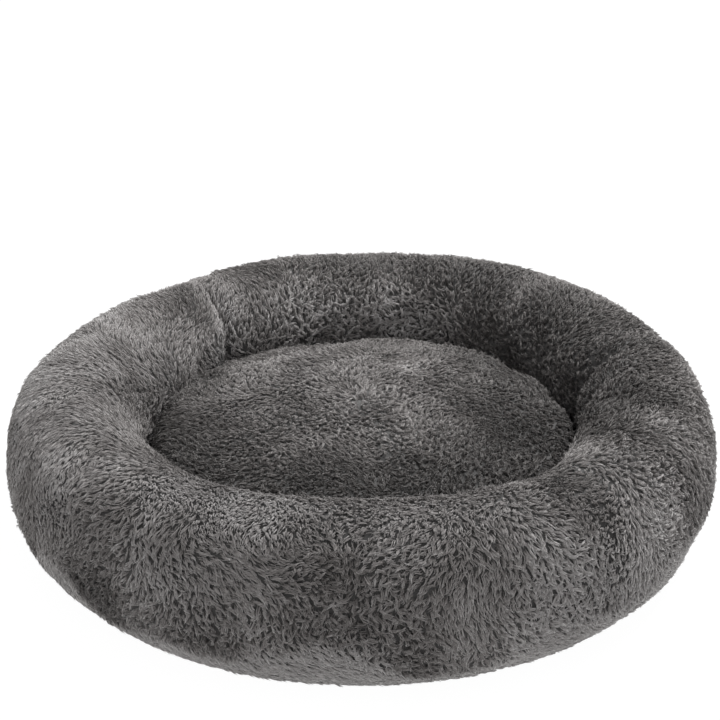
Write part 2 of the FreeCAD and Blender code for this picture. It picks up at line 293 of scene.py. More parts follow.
def ring_section(inset, z_low):
    """The ring's outline from its outer foot over the top to its inner foot, as (radius, height)."""
    joint = math.acos((RING_SIDE_ARC - RING_HALF_WIDTH) / (RING_SIDE_ARC - RING_TOP_ARC))
    top_z = RING_HEIGHT - RING_TOP_ARC
    side_z = top_z - (RING_SIDE_ARC - RING_TOP_ARC) * math.sin(joint)
    offset = RING_SIDE_ARC - RING_HALF_WIDTH
    radius = RING_SIDE_ARC - inset
    foot = math.asin(np.clip((z_low - side_z) / radius, -1, 1))
    outer = arc_points((RING_CENTRE - offset, side_z), radius, foot, joint)
    top = arc_points((RING_CENTRE, top_z), RING_TOP_ARC - inset, joint, math.pi - joint)
    inner = arc_points((RING_CENTRE + offset, side_z), radius, math.pi - joint, math.pi - foot)
    return np.concatenate([outer, top[1:], inner[1:]])


def cushion_section(inset, z_low, foot_radius):
    """The cushion's outline from its side seam over the shoulder to the dome's middle."""
    shoulder = (CUSHION_RADIUS - CUSHION_SHOULDER, CUSHION_WIDEST_Z)
    reach = CUSHION_TOP - CUSHION_SHOULDER - CUSHION_WIDEST_Z
    drop = (shoulder[0] ** 2 - reach ** 2) / (2 * reach)
    centre_z = CUSHION_WIDEST_Z - drop
    joint = math.atan2(drop, shoulder[0])
    mid_side = (CUSHION_RADIUS - inset - 0.002, 0.5 * (z_low + CUSHION_WIDEST_Z))
    side = np.array([(foot_radius, z_low), mid_side])
    turn = arc_points(shoulder, CUSHION_SHOULDER - inset, 0.0, joint)
    dome = arc_points((0.0, centre_z), CUSHION_TOP - centre_z - inset, joint, 0.5 * math.pi, 80)
    return np.concatenate([side, turn, dome[1:]])


def turned(section, angles):
    """A section turned about the bed's axis: points[angle, step]."""
    c, s = np.cos(angles)[:, None], np.sin(angles)[:, None]
    r, z = section[:, 0][None, :], section[:, 1][None, :]
    return np.stack([r * c, r * s, np.broadcast_to(z, (len(angles), len(section)))], axis=-1)


def grid_normals(points, wrap_rows=True, wrap_cols=False):
    def slope(axis, wrap):
        if wrap:
            return np.roll(points, -1, axis) - np.roll(points, 1, axis)
        return np.gradient(points, axis=axis)
    return unit(np.cross(slope(0, wrap_rows), slope(1, wrap_cols)))


# ---- cloth


def puff(ob, held):
    """Blows a closed cloth body up a little, holding some points, and returns its new points."""
    start = coords(ob)
    group = ob.vertex_groups.new(name="held")
    for weight in np.unique(np.round(held, 1)):
        if weight > 0:
            group.add(np.where(np.round(held, 1) == weight)[0].tolist(), float(weight), "REPLACE")
    cloth = ob.modifiers.new("cloth", "CLOTH")
    s = cloth.settings
    s.quality = 6
    s.mass = 0.4
    s.tension_stiffness = 18
    s.compression_stiffness = 12
    s.shear_stiffness = 6
    s.bending_stiffness = 0.8
    s.air_damping = 2
    s.use_pressure = True
    s.uniform_pressure_force = CLOTH_PRESSURE
    s.shrink_min = -0.04
    s.vertex_group_mass = "held"
    s.pin_stiffness = 2
    s.effector_weights.gravity = 0
    cloth.collision_settings.use_collision = False
    cloth.point_cache.frame_start = 1
    cloth.point_cache.frame_end = CLOTH_FRAMES
    scene = bpy.context.scene
    for frame_number in range(1, CLOTH_FRAMES + 1):
        scene.frame_set(frame_number)
    move = coords(ob.evaluated_get(bpy.context.evaluated_depsgraph_get())) - start
    ob.modifiers.remove(cloth)
    scene.frame_set(1)
    far = np.linalg.norm(move, axis=1, keepdims=True)
    return start + move * np.minimum(1, CLOTH_CAP / np.maximum(far, 1e-9))


# ---- pile


LEVELS = np.array([0.0, 0.38, 0.74, 1.0])  # where along a blade its rings lie
TAPER = np.array([0.85, 1.0, 0.80])  # a blade's width at each ring
RINGS = len(TAPER)
BLADE_POINTS = 3 * RINGS + 1
ROOT_DEPTH = 0.0010  # a blade starts this deep in its backing
FLOOR_GAP = 0.0004  # no pile goes lower than this
LOCK_SHADE, BLADE_SHADE = 0.12, 0.09  # how far locks and single blades differ in shade


def reaching(amount, way):
    """Amounts for each point along its own direction, as vectors."""
    return amount[..., None] * way[:, None, :]


def locks(points, lay, normals, stand, curl, style, rng):
    """Locks of pile rooted at points, each a few blades drawn together: blade vertices and shades."""
    n = len(points)
    per = style["blades"]
    length = style["length"] * rng.uniform(0.80, 1.20, n)
    turn = rng.normal(0, 1, n) * style["scatter"] * curl
    across = unit(np.cross(normals, lay))
    lay = lay * np.cos(turn)[:, None] + across * np.sin(turn)[:, None]
    across = unit(np.cross(normals, lay))
    lift = np.clip(style["lift"] * stand * rng.uniform(0.80, 1.20, n), 0.12, 1.45)
    s = LEVELS
    up = (np.sin(lift) * length)[:, None] * (s - style["droop"] * s ** 2)
    along = (np.cos(lift) * length)[:, None] * s ** 1.15
    bend = rng.normal(0, style["bend"], n) * curl
    wave = style["wave"] * rng.uniform(0.6, 1.4, n) * curl
    phase = rng.uniform(0, 2 * np.pi, n)
    spin = 2 * np.pi * style["turns"] * s + phase[:, None]
    sway = bend[:, None] * s ** 2 + wave[:, None] * s ** 0.7 * np.sin(spin)
    bob = 0.55 * wave[:, None] * s * np.cos(spin)
    centre = reaching(up + length[:, None] * bob, normals) + reaching(along, lay)
    centre = centre + reaching(length[:, None] * sway, across)
    soft = np.clip(1 - curl, 0, 0.6)[:, None]
    angle = rng.uniform(0, 2 * np.pi, (n, per))
    reach = style["spread"] * (1 + 0.7 * soft) * np.sqrt(rng.uniform(0.1, 1, (n, per)))
    off = reaching(reach * np.cos(angle), lay) + reaching(reach * np.sin(angle), across)
    stretch = rng.uniform(0.78, 1.08, (n, per))
    gather = 1 - style["gather"] * (1 - soft) * s
    line = points[:, None, None, :] + centre[:, None] * stretch[..., None, None]
    line = line + off[:, :, None, :] * gather[:, None, :, None]
    stray = rng.normal(0, style["stray"], (n, per, 3))
    line = line + stray[:, :, None, :] * (s ** 2)[None, None, :, None]
    line[:, :, 0] -= ROOT_DEPTH * normals[:, None, :]
    width = style["width"] * rng.uniform(0.75, 1.25, (n, per))
    way = unit(line[:, :, 1:] - line[:, :, :-1])
    a = unit(np.cross(way, normals[:, None, None, :] + 0.01))
    b = np.cross(way, a)
    roll = rng.uniform(0, 2 * np.pi, (n, per))[..., None, None]
    thick = (width[..., None] * TAPER)[..., None]
    sides = [line[:, :, :RINGS] + arm * thick for arm in round_arms(a, b, 3, roll)]
    body = np.stack(sides, axis=3).reshape(n * per, 3 * RINGS, 3)
    tip = line[:, :, RINGS].reshape(n * per, 1, 3)
    variety = np.repeat(rng.uniform(-1, 1, n), per) * LOCK_SHADE
    variety = variety + rng.uniform(-1, 1, n * per) * BLADE_SHADE
    shade = 0.5 + variety * np.repeat(np.clip(curl, 0.4, 1.3), per)
    blades = np.concatenate([body, tip], axis=1)
    height = blades[..., 2]
    pressed = FLOOR_GAP * (1 + 2 * np.exp(0.5 * np.minimum(height / FLOOR_GAP, 3) - 1.5))
    blades[..., 2] = np.where(height < 3 * FLOOR_GAP, pressed, height)
    return blades, shade


def blade_corners():
    """Corner indices of one blade: bands of quads, a pointed end and a closed root."""
    quads = grid_faces(RINGS, 3, False, True)[:, [0, 3, 2, 1]]
    last = 3 * (RINGS - 1)
    tris = [[last + k, last + (k + 1) % 3, 3 * RINGS] for k in range(3)]
    return quads, np.array(tris + [[2, 1, 0]])


def pile_object(name, blades, shade, materials):
    """Blades in one mesh, in neighbouring materials: painted shade at the root and a painted highlight
    towards the tip, one shade each way from the blade's own.
    """
    quads, tris = (repeated(faces, len(blades), BLADE_POINTS) for faces in blade_corners())
    ob = new_mesh(name, blades, quads, tris)
    for m in materials:
        ob.data.materials.append(m)
    middle = len(materials) - 3
    pick = 1 + np.minimum((shade * (middle + 1)).astype(int), middle)
    # painted shade on the root band and the closed root, one shade darker; painted highlight on the tip,
    # one shade paler
    quad_step = np.repeat(np.arange(RINGS - 1) - 1, 3)
    tri_step = np.array([1, 1, 1, -1])
    index = np.concatenate([(pick[:, None] + quad_step).ravel(), (pick[:, None] + tri_step).ravel()])
    ob.data.polygons.foreach_set("material_index", index.astype(np.int32))
    return ob


def root_rows(grid, pitch, rng):
    """Even, jittered lock roots over a surface of turning: row and column positions in its grid."""
    turns, cols = grid.shape[:2]
    step = np.linalg.norm(np.diff(grid, axis=1), axis=-1).mean(axis=0)
    run = np.concatenate([[0], np.cumsum(step)])
    round_length = np.linalg.norm(np.roll(grid, -1, 0) - grid, axis=-1).sum(axis=0)
    rows = int(run[-1] / (pitch * 0.87))
    all_u, all_v = [], []
    for k in range(rows):
        here = (k + 0.5) / rows * run[-1]
        v = np.interp(here, run, np.arange(cols))
        count = max(3, int(np.interp(v, np.arange(cols), round_length) / pitch))
        u = (np.arange(count) + rng.uniform() + rng.uniform(-0.33, 0.33, count)) / count * turns
        jitter = rng.uniform(-0.33, 0.33, count) * pitch
        all_u.append(u)
        all_v.append(np.interp(np.clip(here + jitter, 0, run[-1]), run, np.arange(cols)))
    return np.concatenate(all_u), np.concatenate(all_v)


def sample(field, u, v):
    """Bilinear look-up in a grid field that wraps along its rows."""
    rows, cols = field.shape[:2]
    i = np.floor(u).astype(int)
    j = np.clip(np.floor(v).astype(int), 0, cols - 2)
    fu, fv = (u - i)[:, None], (v - j)[:, None]
    i0, i1 = i % rows, (i + 1) % rows
    return (
        field[i0, j] * (1 - fu) * (1 - fv)
        + field[i1, j] * fu * (1 - fv)
        + field[i0, j + 1] * (1 - fu) * fv
        + field[i1, j + 1] * fu * fv
    )


# ---- materials


def material(name):
    m = bpy.data.materials.new(name)
    m.use_nodes = True
    return m, m.node_tree, m.node_tree.nodes["Principled BSDF"]


def plug(nt, node, sockets):
    """Sets a node's inputs by name, each to a constant or linked to another node's output."""
    for key, value in sockets.items():
        if isinstance(value, bpy.types.NodeSocket):
            nt.links.new(value, node.inputs[key])
        else:
            node.inputs[key].default_value = value


def add_node(nt, kind, sockets, **settings):
    """Adds a shader node and returns its outputs. The settings are the node's own menus."""
    node = nt.nodes.new("ShaderNode" + kind)
    for key, value in settings.items():
        setattr(node, key, value)
    plug(nt, node, sockets)
    return node.outputs


def noise(nt, scale, detail):
    """Cloudy noise that is fixed to the object."""
    where = add_node(nt, "TexCoord", {})["Object"]
    return add_node(nt, "TexNoise", {"Vector": where, "Scale": scale, "Detail": detail})["Fac"]


def spread_over(nt, source, low, high):
    """A factor from 0 to 1 as a value from low to high."""
    return add_node(nt, "MapRange", {"Value": source, "To Min": low, "To Max": high})["Result"]


def pile_material(name, colour, sheen):
    """One shade of the polyester pile, more matt in some places than in others."""
    m, nt, p = material(name)
    plug(nt, p, {
        "Base Color": (*colour, 1),
        "Diffuse Roughness": noise(nt, 60, 3),
        "Roughness": 0.7,
        "Specular IOR Level": 0.3,
        "Sheen Weight": sheen,
        "Sheen Roughness": 0.4,
        "Sheen Tint": (0.9, 0.88, 0.86, 1),
    })
    return m


def ramp(nt, source, low, high, low_at, high_at):
    """A colour that runs from low to high between two places of its source."""
    node = nt.nodes.new("ShaderNodeValToRGB")
    for element, colour, place in zip(node.color_ramp.elements, (low, high), (low_at, high_at)):
        element.color = (*colour, 1)
        element.position = place
    plug(nt, node, {"Fac": source})
    return node.outputs["Color"]


def cloth_material(name, dark, light, thread=0.0006, roughness=0.85, bump=0.4, sheen=0.2):
    """Plain-woven cloth: crossing threads in bed coordinates, with painted shade between the threads and
    slow colour variation.
    """
    m, nt, p = material(name)
    threads = {
        "Vector": add_node(nt, "TexCoord", {})["Object"],
        "Scale": 0.31 / thread,
        "Distortion": 1.2,
        "Detail": 1.0,
    }
    warp, weft = (add_node(nt, "TexWave", threads, bands_direction=way)["Fac"] for way in "XY")
    height = add_node(nt, "Math", {0: warp, 1: weft}, operation="MULTIPLY")[0]
    cloud = noise(nt, 35, 6)
    # painted shade: the colour is darker where the threads lie low
    tint = add_node(nt, "Math", {0: height, 1: 0.5, 2: cloud}, operation="MULTIPLY_ADD")[0]
    dent = {"Height": height, "Strength": bump, "Distance": thread * 0.6}
    plug(nt, p, {
        "Base Color": ramp(nt, tint, dark, light, 0.3, 0.95),
        "Roughness": spread_over(nt, cloud, roughness - 0.08, min(1, roughness + 0.08)),
        "Normal": add_node(nt, "Bump", dent)["Normal"],
        "Sheen Weight": sheen,
    })
    return m


def metal_material(name, dark, worn):
    """Black-lacquered zinc, worn brighter in scattered patches."""
    m, nt, p = material(name)
    wear = noise(nt, 320, 4)
    plug(nt, p, {
        "Base Color": ramp(nt, wear, dark, worn, 0.35, 0.85),
        "Roughness": spread_over(nt, wear, 0.3, 0.6),
        "Metallic": 0.9,
    })
    return m


# the pile's shades: locks and blades differ among them at random, and they also carry painted shade and
# painted light (darker roots, paler tips, darker and paler patches, the paler lip); the darker shades are
# warmer
PLUSH_TONES = (0.020, 0.033, 0.056, 0.090, 0.136, 0.190, 0.252, 0.328)
PLUSH_SHADES = []
for k, tone in enumerate(PLUSH_TONES):
    shade_colour = tone * np.array([1, 0.87 + 0.014 * k, 0.82 + 0.02 * k])
    PLUSH_SHADES.append(pile_material(f"plush_pile_{k + 1}", shade_colour, 0.18 + 0.03 * k))

# the backing's dark colour is partly painted shade, standing for the shade in the gaps between the locks
BACKING = cloth_material("plush_backing", (0.018, 0.017, 0.017), (0.040, 0.038, 0.037), 0.0009)
LINING = cloth_material("grey_lining", (0.05, 0.049, 0.048), (0.10, 0.098, 0.095), 0.0006)
OXFORD = cloth_material("black_oxford", (0.02, 0.02, 0.021), (0.055, 0.055, 0.057), 0.0011, 0.7)
NONWOVEN = cloth_material("white_nonwoven", (0.5, 0.5, 0.48), (0.7, 0.7, 0.68), 0.0015, 0.9, 0.2)
FIBRE = cloth_material("white_fibre", (0.6, 0.6, 0.58), (0.85, 0.85, 0.83), 0.004, 0.95, 0.6, 0.5)
TAPE = cloth_material("zip_tape_weave", (0.02, 0.02, 0.021), (0.06, 0.06, 0.062), 0.0005)
SATIN = cloth_material("label_satin", (0.60, 0.60, 0.58), (0.78, 0.78, 0.75), 0.0004, 0.45, 0.15, 0.0)
RUBBER = cloth_material("grip_rubber", (0.01, 0.01, 0.011), (0.02, 0.02, 0.021), 0.002, 0.4, 0.15, 0.0)
THREAD = cloth_material("sewing_thread", (0.04, 0.04, 0.04), (0.09, 0.09, 0.088), 0.0003, 0.6, 0.3, 0.0)
NYLON = cloth_material("zip_nylon", (0.02, 0.02, 0.021), (0.045, 0.045, 0.046), 0.001, 0.35, 0.1, 0.0)
METAL = metal_material("black_zinc", (0.050, 0.050, 0.053), (0.095, 0.095, 0.10))

# ---- the ring's cover


def off_seam(points, seam_deg):
    """Distance along the ring from a radial seam."""
    return np.radians(off_heading(points, seam_deg)) * radius_of(points)


def in_span(points, span, margin=0.0):
    """Which points lie within a span of headings, or a margin past it."""
    turn = heading_of(points)
    return (turn > span[0] - margin) & (turn < span[1] + margin)


def out_of_round(points):
    """The soft ring's outer side isn't a true circle."""
    radius = radius_of(points)
    share = smoothstep(radius, RING_CENTRE - 0.03, RING_CENTRE + 0.05)
    share = share * smoothstep(points[..., 2], 0.008, 0.05)
    reach = OVAL * np.cos(2 * np.radians(off_heading(points, OVAL_HEADING)))
    for heading, width, bulge in BULGES:
        reach = reach + bulge * np.exp(-(off_heading(points, heading) / width) ** 2)
    reach = reach * share
    out = points.copy()
    out[..., :2] *= (1 + reach / radius)[..., None]
    return out


def lumps(points, normals, amount, free):
    """Uneven filling: broad swells and smaller lumps."""
    broad = waves(points, 0.30, 11)
    small = waves(points, 0.12, 12)
    rise = amount * (0.75 * broad + 0.45 * small)
    return points + normals * (np.clip(rise, -2.2 * amount, 1.6 * amount) * free)[..., None]


def blown_up(name, points, free, held, wrap_cols, crease):
    """Simulates a closed grid of cloth, keeping the section's mean shape and adding the swell."""
    normals = grid_normals(points, True, wrap_cols)
    body = grid_object(name, points, True, wrap_cols)
    after = puff(body, held.ravel()).reshape(points.shape)
    bpy.data.objects.remove(body)
    rise = ((after - points) * normals).sum(axis=-1)
    rise = np.clip(rise - rise.mean(axis=0, keepdims=True), -crease, crease)
    return points + normals * ((SWELL + rise) * free)[..., None]


def seam_pull(points):
    """How far the two joining seams pull the ring's cloth in, most on the slope towards the well."""
    columns = points.shape[1]
    place = np.concatenate([np.linspace(0, 1, SECTION_STEPS), np.ones(columns - SECTION_STEPS)])
    inward = smoothstep(place, 0.44, 0.60) * (1 - smoothstep(place, 0.93, 1.0))
    arch_only = np.arange(columns) < SECTION_STEPS
    pull = np.zeros(points.shape[:2])
    for seam, along, width, depth in SEAM_CREASES:
        away = np.abs(off_seam(points, seam) - along)
        pull = pull + SEAM_NOTCH * arch_only * np.exp(-(away / SEAM_NOTCH_REACH) ** 2)
        pull = pull + depth * inward * np.exp(-(away / width) ** 1.6)
    return pull


def stuffed_ring():
    """The ring as one closed cloth body: the arch's columns first, then its flat underside."""
    angles = np.arange(RING_STEPS) * 2 * math.pi / RING_STEPS
    section = evenly(ring_section(PILE + SWELL, RING_FOOT), SECTION_STEPS)
    under = np.linspace(section[-1], section[0], UNDER_COLUMNS + 2)[1:-1]
    under[:, 1] = RING_UNDER
    points = turned(np.concatenate([section, under]), angles)
    normals = grid_normals(points, True, True)
    free = smoothstep(points[..., 2], 0.004, 0.040)
    points = out_of_round(lumps(points, normals, FILL_LUMP, free))
    pull = seam_pull(points)
    points = points - grid_normals(points, True, True) * pull[..., None]
    held = np.where(pull > 0.004, 0.8, 0.0)
    held[:, SECTION_STEPS - 1:] = 1.0
    held[:, 0] = 1.0
    return blown_up("ring_cloth", points, free, held, True, RING_CREASE)


def zip_cut(points, extra=0.0, beyond=0.0):
    """Height below which the cover is cut away for the bed's zip, falling to the floor past its ends."""
    first, last = ZIP_SPAN["bed_zip"]
    away = np.abs(off_heading(points, 0.5 * (first + last)))
    half = 0.5 * (last - first) + beyond
    closing = 1 - smoothstep(away, half - 0.5, half + ZIP_END_DEG)
    return (BED_TAPE_TOP + TAPE_SHOWN + extra) * closing


def zip_recess(points):
    """Turns the cloth that would cover the zip in behind the upper edge of its tape."""
    out = points.copy()
    radius = radius_of(points)
    spare = zip_cut(points) - points[..., 2]
    low = (spare > 0) & (radius > RING_CENTRE)
    edge = ZIP_RADIUS["bed_zip"] + HEM_EDGE - HEM_SLOPE * spare
    out[low, :2] *= (edge[low] / radius[low])[:, None]
    out[low, 2] += spare[low]
    return out


def behind_zip(points, clearance):
    """Holds an inner layer back from the zip along the rear of the bed, and a little past its ends."""
    out = points.copy()
    radius = radius_of(points)
    limit = ZIP_RADIUS["bed_zip"] - clearance
    cut = zip_cut(points, INNER_LAYER_RISE, INNER_LAYER_DEG)
    near = (points[..., 2] < cut) & (radius > limit)
    out[near, :2] *= (limit / radius[near])[:, None]
    shelf = near & (points[..., 2] > cut - SHELF_DEPTH)
    out[shelf, 2] = cut[shelf] - SHELF_DROP
    return out


def finer(points, columns):
    """A ring grid again, with twice its rows and at the given columns."""
    u, v = np.meshgrid(np.arange(0, len(points), 0.5), columns, indexing="ij")
    return sample(points, u.ravel(), v.ravel()).reshape(u.shape + (3,))


ring = stuffed_ring()
ring_normals = grid_normals(ring, True, True)
arch = ring[:, :SECTION_STEPS]
arch_normals = ring_normals[:, :SECTION_STEPS]
cover_grid = np.concatenate([ring[:, -HEM_COLUMNS:], arch], axis=1)
foot_columns = HEM_COLUMNS + np.linspace(0, FOOT_COLUMNS, 4 * FOOT_COLUMNS + 1)
other_columns = np.arange(HEM_COLUMNS + FOOT_COLUMNS + 1, HEM_COLUMNS + SECTION_STEPS)
cover_columns = np.concatenate([np.arange(HEM_COLUMNS), foot_columns, other_columns])
arch_cover = zip_recess(finer(cover_grid, cover_columns))


def ring_part(name, first_deg, last_deg, grid):
    """A length of the ring's surface between two headings, as its own piece."""
    step = 360.0 / len(grid)
    i = np.arange(int(round(first_deg / step)), int(round(last_deg / step)) + 1) % len(grid)
    return grid_object(name, grid[i], False)


def dress(ob, look, body, slot, *nodes):
    """Gives a piece its material and its body, and hides the CAD nodes that it stands for. The slot is
    not used.
    """
    if look is not None:
        ob.data.materials.append(look)
    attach(ob, body)
    if nodes:
        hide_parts(*nodes)
    return ob


# ---- the pile
RING_STYLE = {
    "pitch": 0.0043,  # between locks
    "blades": 5,  # in a lock
    "length": 0.0112,
    "width": 0.00050,
    "lift": 0.78,  # angle between a lock and the cloth, in radians
    "droop": 0.55,  # how far its end sinks back, as a share
    "scatter": 0.34,  # how far the locks' headings differ, in radians
    "bend": 0.20,
    "wave": 0.15,
    "turns": 0.9,  # of the curl along a lock
    "spread": 0.0019,  # of the blades' roots
    "gather": 0.55,  # how far the blades draw together at the tip
    "stray": 0.0006,
}
DOME_STYLE = dict(RING_STYLE)
DOME_STYLE.update(pitch=0.0042, length=0.0100, lift=0.80, scatter=0.40, width=0.00052)
rng = np.random.default_rng(561)


def grow(grid, grid_normal, lay, stand, curl, tone, style, keep):
    """Pile over a grid surface: blade vertices, their shades and their roots."""
    u, v = root_rows(grid, style["pitch"], rng)
    root = sample(grid, u, v)
    chosen = keep(root)
    u, v, root = u[chosen], v[chosen], root[chosen]
    normal = unit(sample(grid_normal, u, v))
    flow = sample(lay, u, v)
    flow = unit(flow - normal * (flow * normal).sum(axis=1, keepdims=True))
    mix = sample(np.stack([stand, curl, tone], axis=-1), u, v)
    blades, shade = locks(root, flow, normal, mix[:, 0], mix[:, 1], style, rng)
    shade = np.clip(shade + np.repeat(mix[:, 2], style["blades"]), 0, 0.999)
    return blades, shade, root


def pile_pieces(prefix, edges, body, style, blades, shade, roots):
    """Makes the pile into pieces, one between each heading and the next."""
    heading = heading_of(roots)
    for k in range(len(edges) - 1):
        inside = ((heading - edges[k]) % 360) < (edges[k + 1] - edges[k])
        pick = np.repeat(inside, style["blades"])
        pile = pile_object(f"{prefix}_{k + 1}", blades[pick], shade[pick], PLUSH_SHADES)
        dress(pile, None, body, "plush")


def nap_way(forward, normals, swing):
    """The way the nap lies: forward, swung about over the surface."""
    sideways = unit(np.cross(normals, forward))
    return forward * np.cos(swing)[..., None] + sideways * np.sin(swing)[..., None]


def clear_of_zip(root):
    """No pile roots where the bed's zip runs, and few down in the well, out of sight."""
    outer = radius_of(root) > RING_CENTRE
    height = root[:, 2]
    on_zip = outer & (height < zip_cut(root, ZIP_PILE_CLEAR))
    sunk = ~outer & (height < WELL_BARE_Z)
    thinned = ~outer & (height < WELL_THIN_Z) & (rng.uniform(size=len(root)) < WELL_THINNED)
    return ~on_zip & ~sunk & ~thinned


def clear_of_cushion_zip(root):
    """No pile roots on the cushion's rim where they would hang in the way of its zip's slider."""
    over_zip = in_span(root, ZIP_SPAN["cushion_zip"], ZIP_END_DEG)
    return ~(over_zip & (root[:, 2] < CUSHION_SEAM_Z + RIM_CLEAR))


def brushed_and_painted_light(points, patches):
    """Tone, stand and curl of the nap, patch by patch, over even values. The patches are partly nap that
    hands have brushed and partly painted shade and painted light, their tone set darker or paler for how
    light falls there.
    """
    share = np.broadcast_to(np.linspace(0, 1, points.shape[1]), points.shape[:2])
    tone, stand, curl = np.zeros(share.shape), np.ones(share.shape), np.ones(share.shape)
    for heading, place, reach_deg, reach, patch_tone, patch_stand, patch_curl in patches:
        away = off_heading(points, heading)
        weight = np.exp(-((away / reach_deg) ** 2 + ((share - place) / reach) ** 2))
        tone = tone + weight * patch_tone
        stand = stand * (1 + weight * (patch_stand - 1))
        curl = curl * (1 + weight * (patch_curl - 1))
    return tone, stand, curl


# heading, place from the outer foot (0) to the inner foot (1), reach in degrees, reach across,
# then by how much the tone changes and what the stand and the curl are multiplied by
# a patch's tone change is partly the nap's own and partly painted shade and painted light
RING_PATCHES = (
    (178, 0.38, 42, 0.28, 0.28, 0.58, 0.45),
    (145, 0.64, 18, 0.26, 0.1, 0.62, 0.6),
    (138, 0.6, 5, 0.08, -0.5, 1.0, 0.8),
    (131, 0.75, 7, 0.09, 0.24, 0.9, 0.9),
    (157, 0.67, 9, 0.1, 0.2, 0.8, 0.8),
    (123, 0.62, 14, 0.14, 0.14, 0.55, 0.6),
    (98, 0.69, 18, 0.13, 0.2, 1.05, 1.4),
    (70, 0.72, 13, 0.12, 0.5, 1.05, 1.4),
    (95, 0.54, 34, 0.07, -0.4, 1.05, 1.2),
    (52, 0.66, 18, 0.18, -0.5, 1.15, 1.3),
    (40, 0.82, 16, 0.1, -0.58, 1.15, 1.3),
    (20, 0.86, 14, 0.09, -0.36, 1.1, 1.2),
    (24, 0.54, 16, 0.14, -0.28, 1.1, 1.2),
    (8, 0.75, 24, 0.16, -0.5, 1.15, 1.1),
    (346, 0.56, 13, 0.13, -0.52, 1.05, 1.2),
    (333, 0.66, 12, 0.1, -0.34, 1.05, 1.2),
    (345, 0.32, 20, 0.12, 0.14, 0.95, 1.1),
    (243, 0.52, 20, 0.1, 0.24, 0.75, 0.6),
    (196, 0.58, 8, 0.09, -0.12, 1.0, 1.0),
    (212, 0.34, 20, 0.12, 0.06, 0.9, 0.8),
    (229, 0.17, 11, 0.11, -0.34, 1.1, 1.2),
    (243, 0.28, 10, 0.12, 0.24, 0.9, 1.0),
    (237, 0.26, 7, 0.1, 0.3, 0.9, 1.0),
    (207, 0.39, 10, 0.07, 0.12, 0.85, 0.8),
    (259, 0.25, 8, 0.1, 0.2, 0.95, 1.2),
    (298, 0.27, 20, 0.13, 0.26, 0.9, 1.2),
    (309, 0.2, 14, 0.19, 0.46, 0.9, 1.1),
    (267, 0.18, 9, 0.1, -0.08, 1.1, 1.5),
    (262, 0.44, 30, 0.1, 0.12, 1.05, 0.8),
    # painted shade along the ring's inner foot, in the crevice by the cushion
    (60, 0.97, 150, 0.14, -0.45, 1.0, 1.0),
)
# the same for the cushion, from its seam (0) to its middle (1)
DOME_PATCHES = (
    (270, 0.3, 90, 0.28, -0.4, 1.15, 1.2),
    (190, 0.16, 50, 0.22, -0.42, 1.15, 0.9),
    (150, 0.45, 40, 0.22, 0.1, 1.0, 0.9),
    (0, 0.3, 50, 0.3, -0.58, 1.1, 1.2),
    (320, 0.2, 40, 0.18, -0.2, 1.1, 1.2),
    (40, 0.12, 30, 0.16, -0.3, 1.0, 1.0),
    (90, 0.95, 400, 0.3, 0.08, 0.9, 1.3),
    # painted shade all round the cushion's rim, in the crevice by the ring
    (90, 0.0, 400, 0.13, -0.45, 1.0, 1.0),
)

# the nap runs over the ring towards its outer foot, swung about in brushed patches
LIP_HEIGHT = 0.056  # below this the outer side's pile is pressed flat and lies along the floor
LIP_HEADING = 310  # the lip is highest here
LIP_REACH_DEG = 22
patch_tone, patch_stand, patch_curl = brushed_and_painted_light(arch, RING_PATCHES)
down = -unit(np.gradient(arch, axis=1))
arch_radius = radius_of(arch)
spread_lip = np.exp(-(((heading_of(arch) - LIP_HEADING) / LIP_REACH_DEG) ** 2))
lip = LIP_HEIGHT * (1 + 0.26 * waves(arch, 0.14, 27) + 0.5 * spread_lip)
outer_low = (arch_radius > RING_CENTRE) * (1 - smoothstep(arch[..., 2] / lip, 0.45, 1.0))
streaked = arch * np.array([1, 1, 0.2]) / arch_radius[..., None] * RING_CENTRE
marks = waves(streaked, 0.055, 28)
swing = (0.50 * waves(arch, 0.16, 21) + 0.35 * waves(arch, 0.07, 22) + 0.18 * marks) * (1 - outer_low)
swing = swing + 1.25 * outer_low
ring_lay = nap_way(down, arch_normals, swing)
ring_stand = patch_stand * (1.0 + 0.22 * waves(arch, 0.10, 23)) * (1 - 0.68 * outer_low)
crown = smoothstep(arch[..., 2], 0.12, 0.155)
ring_curl = patch_curl * (1.0 + 0.25 * waves(arch, 0.13, 26)) * (1 - 0.6 * outer_low) * (1 - 0.28 * crown)
ring_tone = patch_tone + 0.05 * waves(arch, 0.09, 24) + 0.04 * waves(arch, 0.035, 25)
# the low lip is paler: partly its flat-lying nap, and partly painted light for the light that the floor
# throws back onto it
ring_tone = ring_tone + 0.07 * marks + 0.72 * outer_low
ring_pile = grow(
    arch, arch_normals, ring_lay, ring_stand, ring_curl, ring_tone, RING_STYLE, clear_of_zip)

for part, first, last, count in (
    ("rear", SEAM_RIGHT_DEG, SEAM_LEFT_DEG, 6),
    ("front", SEAM_LEFT_DEG, SEAM_RIGHT_DEG + 360, 11),
):
    back = ring_part("plush_backing_" + part, first, last, arch_cover)
    dress(back, BACKING, "bolster", "plush", "bolster_cover_" + part)
    edges = np.linspace(first, last, count + 1)
    pile_pieces("plush_pile_" + part, edges, "bolster", RING_STYLE, *ring_pile)

inner_layer = behind_zip(ring - ring_normals * INNER_BAG_DEPTH, 0.0015)
bag = grid_object("bolster_inner_bag", inner_layer, True, True)
dress(bag, NONWOVEN, "bolster", "lining", "bolster_liner")
inner_layer = behind_zip(ring - ring_normals * FIBRE_DEPTH, 0.0035)
wad = grid_object("bolster_fibre", inner_layer, True, True)
dress(wad, FIBRE, "bolster", "filling", "bolster_fill")

# ---- the loose cushion's plush


